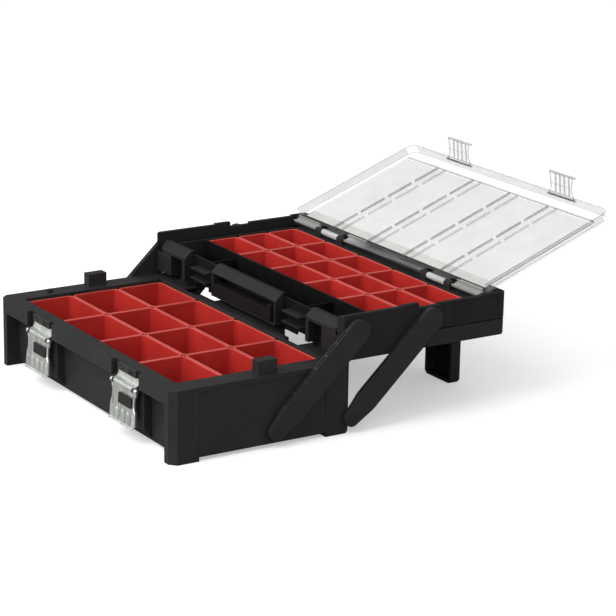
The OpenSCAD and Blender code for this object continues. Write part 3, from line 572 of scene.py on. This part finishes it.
def make_clip(name):
    """Ribs, foot and edges of a lid clip, on the clip's own body, in grey painted for the light
    and shade seen in the clear clip.
    """
    body = "lid_clip_" + name
    place = turned_at(joints[body + "_hinge"], LID_TURN - CLIP_LEAN)
    bars = [((x - CLIP_RIB_HALF, CLIP_RIB_Y[0], CLIP_RIB_Z[0]),
             (x + CLIP_RIB_HALF, CLIP_RIB_Y[1], CLIP_RIB_Z[1])) for x in CLIP_RIB_X]
    bars.append(CLIP_FOOT)
    # painted shade: grey ribs and foot on the clear clip
    blocks_piece("clip_ribs_" + name, place, bars, RIB, body, bevel=0.6)
    bm = bmesh.new()
    for s in (-1, 1):
        add_tube(bm, [place(s * x, CLIP_EDGE_Y, z) for x, z in CLIP_SIDE], CLIP_EDGE_R)
    finish_piece("clip_edges_" + name, bm, EDGE_DARK, body, smooth=True)


make_lid_plate()
make_lid_ribs()
make_lid_edges()
make_lid_hinge()
make_clip("left")
make_clip("right")

# ---------------------------------------------------------------- latches
# In a latch's frame, the pin's axis is X, the plate hangs along -Z and its front faces -Y.

PLATE_HALF = (  # how far below the pin, half the plate's width there
    (2.5, 37.6), (7.5, 36.4), (13, 33.4), (24, 33.2), (35, 37.4), (54, 38.0), (59, 37.0))
PLATE_TOP, PLATE_FLAT = 3.0, 51.0  # the flat part's start below the pin, and its height
PLATE_ROWS, PLATE_COLUMNS = 34, 60
PLATE_END = (  # the curled lip below the flat part, as (Y, Z)
    (-0.9, -54.0), (-1.1, -56.0), (-2.2, -57.4), (-3.8, -57.5), (-4.9, -56.9))
# places across the plate, from -1 to 1
ACROSS = [-1 + 2 * i / PLATE_COLUMNS for i in range(PLATE_COLUMNS + 1)]
SIDE_BEND = 1.0  # width of the bend at each side
# the folded sides of a row of the sheet: in from the side, and Y and Z from the row
FLAT_FOLD = ((0.3, 3.0, 0.0), (0.05, 1.2, 0.0), (0.0, -0.3, 0.0))
LIP_FOLD = ((0.3, 2.4, 1.0), (0.0, 1.0, 0.4), (0.0, 0.4, 0.0))

PLATE_FACE = 1.0  # how far the plate's front stands before the pin's axis
RIB_WAVES = 4.5  # waves of the pressed ribs across the plate
RIB_OUT, RIB_SHARP = 1.5, 1.5  # how far they stand out, and the power that narrows them
RIBS_TOP, RIBS_END = 36.0, 56.0  # where they start and end below the pin
RIBS_FADE = 3.0  # the height over which they rise and sink
RIBS_HALF = 0.9  # they reach this share of the way to the sides
MARGIN, MARGIN_START = 0.5, 0.86  # the sides stand out this much more, from this share on

ROLL_X, ROLL_R, ROLL_SIDES = (33.4, 37.8), 3.9, 20  # the plate's rolled ears on the pin

LINE_Y = (-1.25, -0.8)  # dark lines painted for shade between the ribs low down across the plate, and for dark reflections higher up at its left
LOW_LINES, LOW_LINE_HALF, LOW_LINE_Z = [8.5 * k for k in range(-3, 4)], 0.35, (-55.0, -39.0)
HIGH_LINES, HIGH_LINE_HALF, HIGH_LINE_Z = (-29.0, -21.0), 0.3, (-38.0, -7.0)

LEAF = (  # the leaf's section from its top edge round the pin, as (Y, Z)
    (8.2, 16.6), (7.0, 9.0), (4.6, 5.6), (0.4, 4.4), (-2.4, 3.0), (-3.4, 0.6),
    (-3.2, -1.6), (-2.0, -3.2), (-0.4, -3.8))
LEAF_HALF, LEAF_COLUMNS = 31.8, 24

CAP_SLOTS = (  # start and end as shares of the cap's width, bottom and top below the cap's top
    (0.1, 0.2, 4.6, 1.8), (0.6, 0.76, 4.6, 2.0), (0.82, 0.94, 5.0, 2.2), (0.56, 0.92, 9.6, 7.2))
SLOT_OUT, SLOT_IN = 0.15, 0.6  # how far the painted shade filling a slot stands out of the cap and into it


def share(v):
    return max(0.0, min(1.0, v))


def plate_front(u, z):
    """The Y of the plate's front at u (-1 to 1 across) and height z."""
    ribs = max(0.0, math.cos(u * math.pi * RIB_WAVES)) ** RIB_SHARP
    zone = share((-RIBS_TOP - z) / RIBS_FADE) * share((z + RIBS_END) / RIBS_FADE)
    margin = MARGIN * max(0.0, (abs(u) - MARGIN_START) / (1 - MARGIN_START))
    return -PLATE_FACE - RIB_OUT * ribs * zone * (abs(u) < RIBS_HALF) - margin


def sheet_row(place, half, middle, y, z, fold):
    """A row of the plate's sheet: its middle points between the folds of both sides."""
    left = [place(d - half, y + dy, z + dz) for d, dy, dz in fold]
    right = [place(half - d, y + dy, z + dz) for d, dy, dz in reversed(fold)]
    return left + middle + right


def make_latch_plate(name):
    """The swinging plate as bent sheet: waist, folded sides, ribs and a curled lip."""
    body = "latch_" + name
    place = turned_at(joints[body + "_hinge"], -LATCH_LEAN)
    grid = []
    for j in range(PLATE_ROWS + 1):
        z = -PLATE_TOP - PLATE_FLAT * j / PLATE_ROWS
        w = eased(PLATE_HALF, -z)
        front = [place(u * (w - SIDE_BEND), plate_front(u, z), z) for u in ACROSS]
        grid.append(sheet_row(place, w, front, 0.0, z, FLAT_FOLD))
    for y, z in PLATE_END:
        w = eased(PLATE_HALF, -z) - SIDE_BEND
        lip = [place(u * w, y, z) for u in ACROSS]
        grid.append(sheet_row(place, w, lip, y, z, LIP_FOLD))
    bm = bmesh.new()
    add_sheet(bm, grid)
    for s in (-1, 1):
        add_knuckle(bm, place, s * ROLL_X[0], s * ROLL_X[1], ROLL_R, ROLL_SIDES)
    o = finish_piece("latch_sheet_" + name, bm, ZINC, body, smooth=True)
    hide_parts("latch_plate_" + name)
    # painted shade between the ribs, and painted dark reflections at the plate's left
    lines = [((x - half, LINE_Y[0], zs[0]), (x + half, LINE_Y[1], zs[1]))
             for xs, half, zs in ((LOW_LINES, LOW_LINE_HALF, LOW_LINE_Z),
                                  (HIGH_LINES, HIGH_LINE_HALF, HIGH_LINE_Z)) for x in xs]
    blocks_piece("latch_shade_lines_" + name, place, lines, ZINC_SHADE, body, bevel=0.1)


def make_latch_leaf(name):
    """The fixed leaf, rolled round the pin."""
    place = turned_at(joints["latch_" + name + "_hinge"], 0.0)
    xs = [-LEAF_HALF + 2 * LEAF_HALF * i / LEAF_COLUMNS for i in range(LEAF_COLUMNS + 1)]
    bm = bmesh.new()
    add_sheet(bm, [[place(x, y, z) for x in xs] for y, z in LEAF])
    o = finish_piece("latch_roll_" + name, bm, ZINC, "base", smooth=True)
    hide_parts("latch_leaf_" + name)


def make_bracket_slot_shade(name):
    """Painted shade in the sockets on the front of the cap over a latch, as dark blocks."""
    low, high = (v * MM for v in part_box("latch_bracket_" + name))
    front = low.y + SHIFT
    wide = high.x - low.x
    # painted shade: a near-black block in each socket
    slot_shades = [((low.x + start * wide, front - SLOT_OUT, high.z - bottom),
              (low.x + end * wide, front + SLOT_IN, high.z - top))
             for start, end, bottom, top in CAP_SLOTS]
    blocks_piece("bracket_slot_shade_" + name, at, slot_shades, BLACK_DEEP, "base",
                 bevel=0.3)


for latch in ("left", "right"):
    make_latch_plate(latch)
    make_latch_leaf(latch)
    make_bracket_slot_shade(latch)

# ---------------------------------------------------------------- floor, light, camera

FLOOR_SIZE = 12.0  # from the middle to a side, in metres
FLOOR_DROP = 0.0002  # how far the floor lies under the feet, in metres
FLOOR_LIFT = 0.42  # how much the floor shines towards the camera
BRIGHT_SIDE = (0.35, -0.78, 0.52)  # the direction from which most light comes
WHITE = (1, 1, 1, 1)

# The camera fitted to the photo: turn, pitch and roll, focal length in pixels of a picture
# 616 wide, and place in millimetres
YAW, PITCH, ROLL = math.radians(57.43), math.radians(16.34), math.radians(1.07)
LENS_PX, PHOTO_W = 2398.5, 616.0
CAMERA_AT = (3075.1, -1561.3, 1175.5)


def make_floor():
    """A white floor that reflects less on to the object than the camera sees."""
    mat, tree, shader = new_material("floor")
    shader.inputs["Roughness"].default_value = 0.9
    shader.inputs["Specular IOR Level"].default_value = 0.0
    seen = ramp(tree, noise(tree, scale=3.0), 0.3, 0.7, (0.69, 0.69, 0.69), (0.71, 0.71, 0.71))
    bounce = ramp(tree, noise(tree, scale=2.0), 0.3, 0.7, (0.3, 0.3, 0.3), (0.34, 0.34, 0.34))
    to_camera = tree.nodes.new("ShaderNodeLightPath").outputs["Is Camera Ray"]
    tree.links.new(mixed(tree, to_camera, bounce, seen), shader.inputs["Base Color"])
    shader.inputs["Emission Color"].default_value = WHITE
    lift = maths(tree, "MULTIPLY", to_camera, FLOOR_LIFT)
    tree.links.new(lift, shader.inputs["Emission Strength"])
    bm = bmesh.new()
    bmesh.ops.create_grid(bm, x_segments=2, y_segments=2, size=FLOOR_SIZE)
    mesh = bpy.data.meshes.new("floor")
    bm.to_mesh(mesh)
    bm.free()
    mesh.materials.append(mat)
    o = bpy.data.objects.new("floor", mesh)
    o.location = (0, 0, -FLOOR_DROP)
    bpy.context.collection.objects.link(o)


def make_world():
    """White to the camera; to the object, brightest towards BRIGHT_SIDE and dim opposite."""
    world = bpy.data.worlds.new("studio")
    world.use_nodes = True
    tree = world.node_tree
    light = tree.nodes["Background"]
    light.inputs["Strength"].default_value = 1.0
    coords = tree.nodes.new("ShaderNodeTexCoord").outputs["Generated"]
    toward = tree.nodes.new("ShaderNodeVectorMath")
    toward.operation = "DOT_PRODUCT"
    toward.inputs[1].default_value = BRIGHT_SIDE
    tree.links.new(coords, toward.inputs[0])
    tone = to_range(tree, toward.outputs["Value"], 0.15, 1.3, start=-0.6, end=1.0)
    tree.links.new(tone, light.inputs["Color"])
    white = tree.nodes.new("ShaderNodeBackground")
    white.inputs["Color"].default_value = WHITE
    white.inputs["Strength"].default_value = 1.02
    path = tree.nodes.new("ShaderNodeLightPath")
    mix = tree.nodes.new("ShaderNodeMixShader")
    tree.links.new(path.outputs["Is Camera Ray"], mix.inputs["Fac"])
    tree.links.new(light.outputs["Background"], mix.inputs[1])
    tree.links.new(white.outputs["Background"], mix.inputs[2])
    tree.links.new(mix.outputs["Shader"], tree.nodes["World Output"].inputs["Surface"])
    bpy.context.scene.world = world


def soft_light(name, where, target, size, power):
    """A square light at a place, facing a target, all in metres and watts."""
    data = bpy.data.lights.new(name, "AREA")
    data.shape = "SQUARE"
    data.size = size
    data.energy = power
    o = bpy.data.objects.new(name, data)
    o.location = where
    o.rotation_mode = "QUATERNION"
    o.rotation_quaternion = (Vector(target) - Vector(where)).to_track_quat("-Z", "Y")
    bpy.context.collection.objects.link(o)


def make_camera():
    forward = Vector((-math.sin(YAW) * math.cos(PITCH), math.cos(YAW) * math.cos(PITCH),
                      -math.sin(PITCH)))
    level = Vector((math.cos(YAW), math.sin(YAW), 0))
    upward = level.cross(forward)
    right = level * math.cos(ROLL) + upward * math.sin(ROLL)
    upward = upward * math.cos(ROLL) - level * math.sin(ROLL)
    data = bpy.data.cameras.new("camera")
    data.sensor_width = 36.0
    data.lens = LENS_PX / PHOTO_W * data.sensor_width
    data.clip_end = 50
    o = bpy.data.objects.new("camera", data)
    turn = Matrix((right, upward, -forward)).transposed()
    o.matrix_world = Matrix.Translation(at(*CAMERA_AT)) @ turn.to_4x4()
    bpy.context.collection.objects.link(o)
    bpy.context.scene.camera = o


make_floor()
make_world()
soft_light("front", where=(0.2, -2.8, 2.3), target=(0, 0.1, 0), size=2.4, power=92)
make_camera()
bpy.context.scene.view_settings.view_transform = "Standard"
